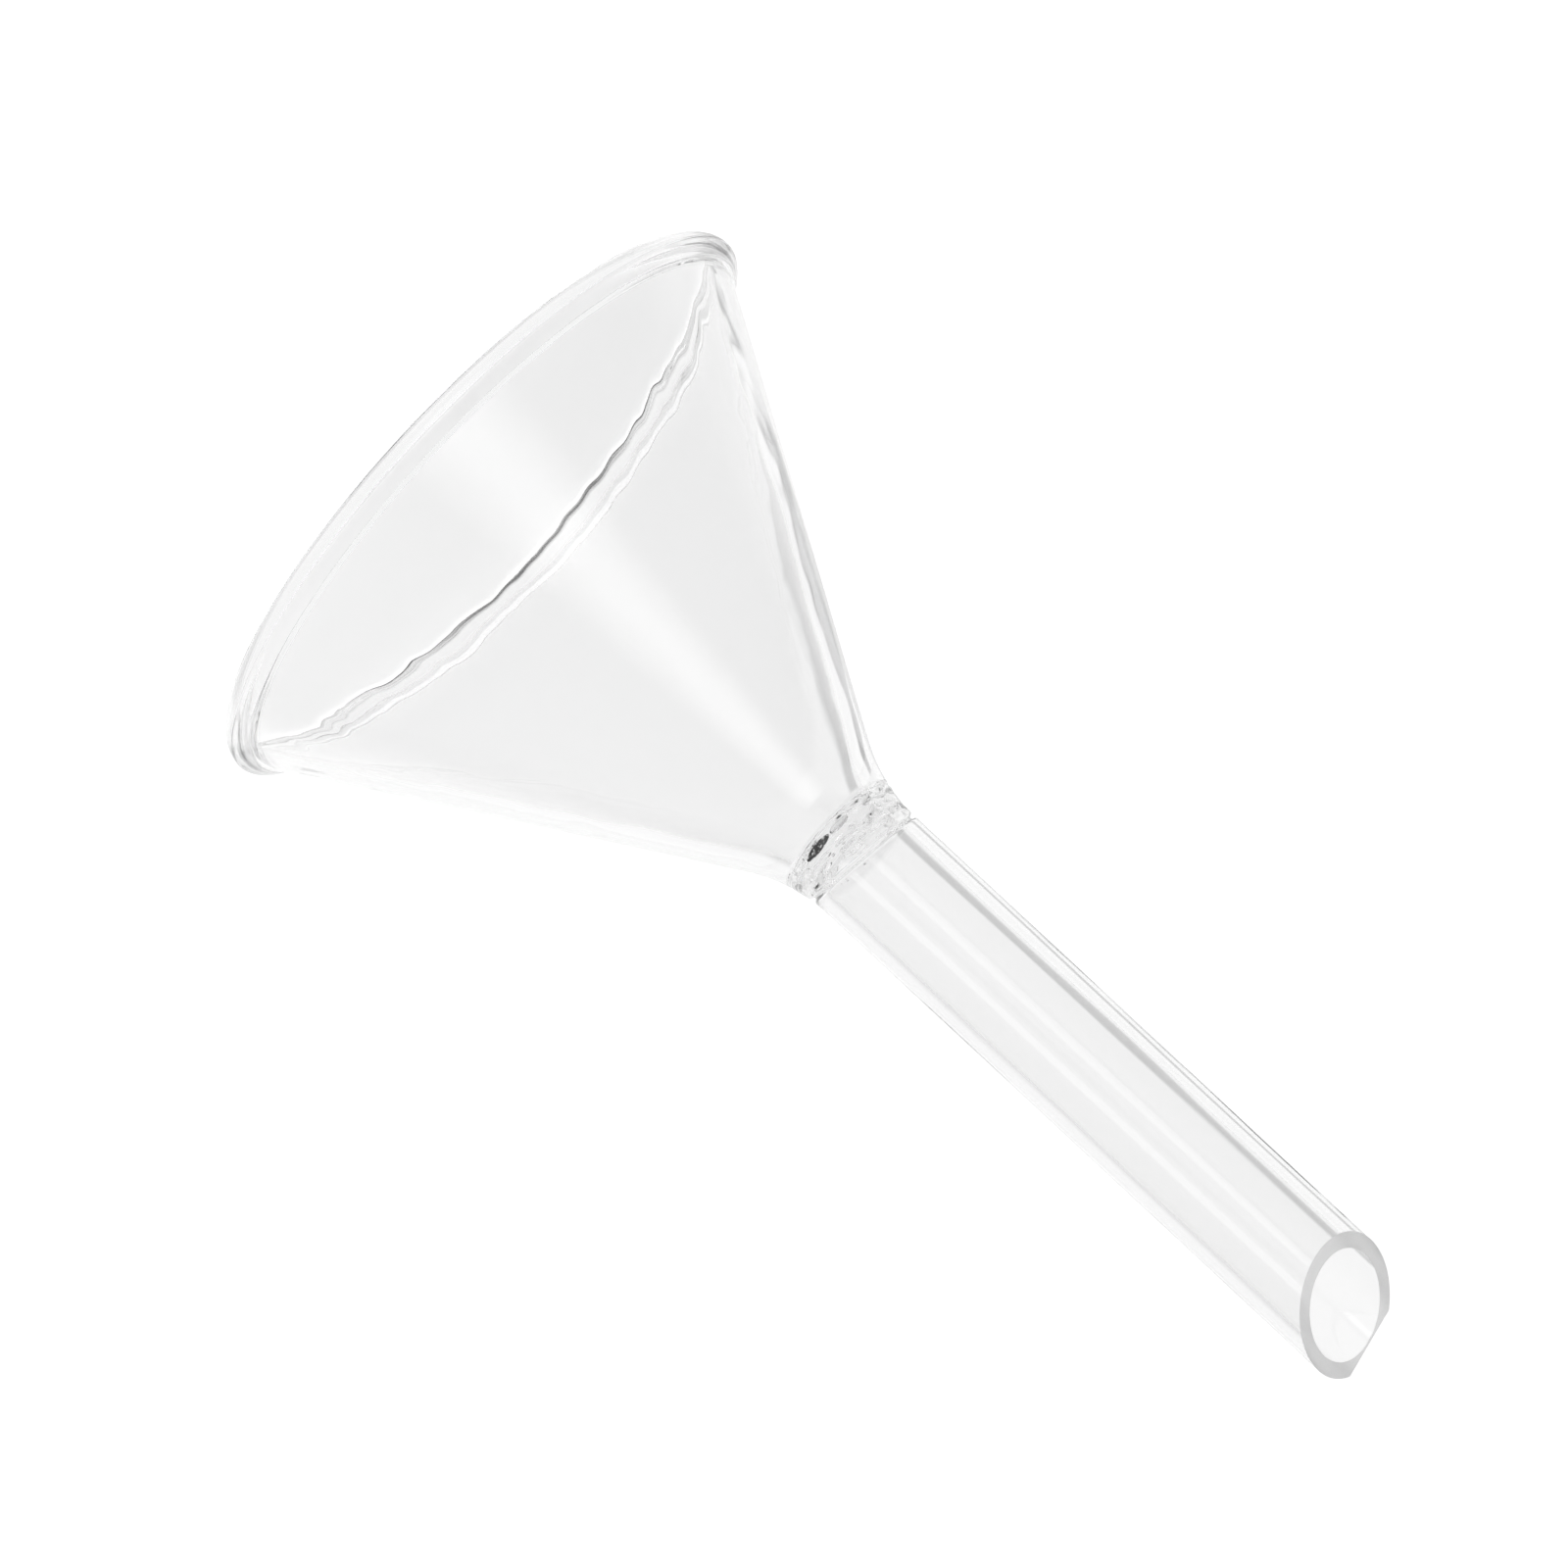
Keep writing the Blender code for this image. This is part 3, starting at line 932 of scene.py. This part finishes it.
FRONT_TURN = math.radians(-17)
FRONT_RISE = math.radians(44)
FRONT_DISTANCE = 1.2
FRONT_TARGET = (0, 0, 0.03)
FRONT_RADIANCE = 1.4
FRONT_LENGTH = 0.6
# Five layers, each wider than the last, so that the light falls off softly at both ends.
FRONT_LAYERS = 5
FRONT_WIDTH = 0.24
LAYER_WIDENING = 0.16
LAYER_GAP = 0.01
front_way = Matrix.Rotation(FRONT_TURN, 3, "Z") @ level_to_camera * math.cos(FRONT_RISE)
front_way += Vector((0, 0, math.sin(FRONT_RISE)))
for layer in range(FRONT_LAYERS):
    softbox(
        "front_softbox",
        front_way * (FRONT_DISTANCE + LAYER_GAP * layer),
        FRONT_TARGET,
        FRONT_WIDTH + LAYER_WIDENING * layer,
        FRONT_LENGTH,
        FRONT_RADIANCE / FRONT_LAYERS,
    )

# The strips light the stem alone, and are seen only as reflections in it.
stem_only = bpy.data.collections.new("lit_by_strips")
stem_only.objects.link(stem_tube)
STRIP_TURNS = (math.radians(33), math.radians(-11))
STRIP_DISTANCE = 0.12
STRIP_TARGET = Vector((0, 0, 0.045))
STRIP_WIDTH = 0.03
STRIP_LENGTH = 0.09
STRIP_RADIANCE = 1.6
for turn in STRIP_TURNS:
    way_out = Matrix.Rotation(turn, 3, "Z") @ level_to_camera
    strip = softbox(
        "stem_strip",
        way_out * STRIP_DISTANCE + STRIP_TARGET,
        STRIP_TARGET,
        STRIP_WIDTH,
        STRIP_LENGTH,
        STRIP_RADIANCE,
    )
    strip.visible_transmission = False
    strip.visible_diffuse = False
    strip.light_linking.receiver_collection = stem_only

# Light crosses many faces of glass before it is spent.
GLASS_BOUNCES = 48
scene = bpy.context.scene
scene.view_settings.view_transform = "Standard"
scene.view_settings.look = "None"
scene.cycles.blur_glossy = 0.0
scene.cycles.max_bounces = GLASS_BOUNCES
scene.cycles.transmission_bounces = GLASS_BOUNCES
scene.cycles.transparent_max_bounces = GLASS_BOUNCES
scene.cycles.glossy_bounces = GLASS_BOUNCES
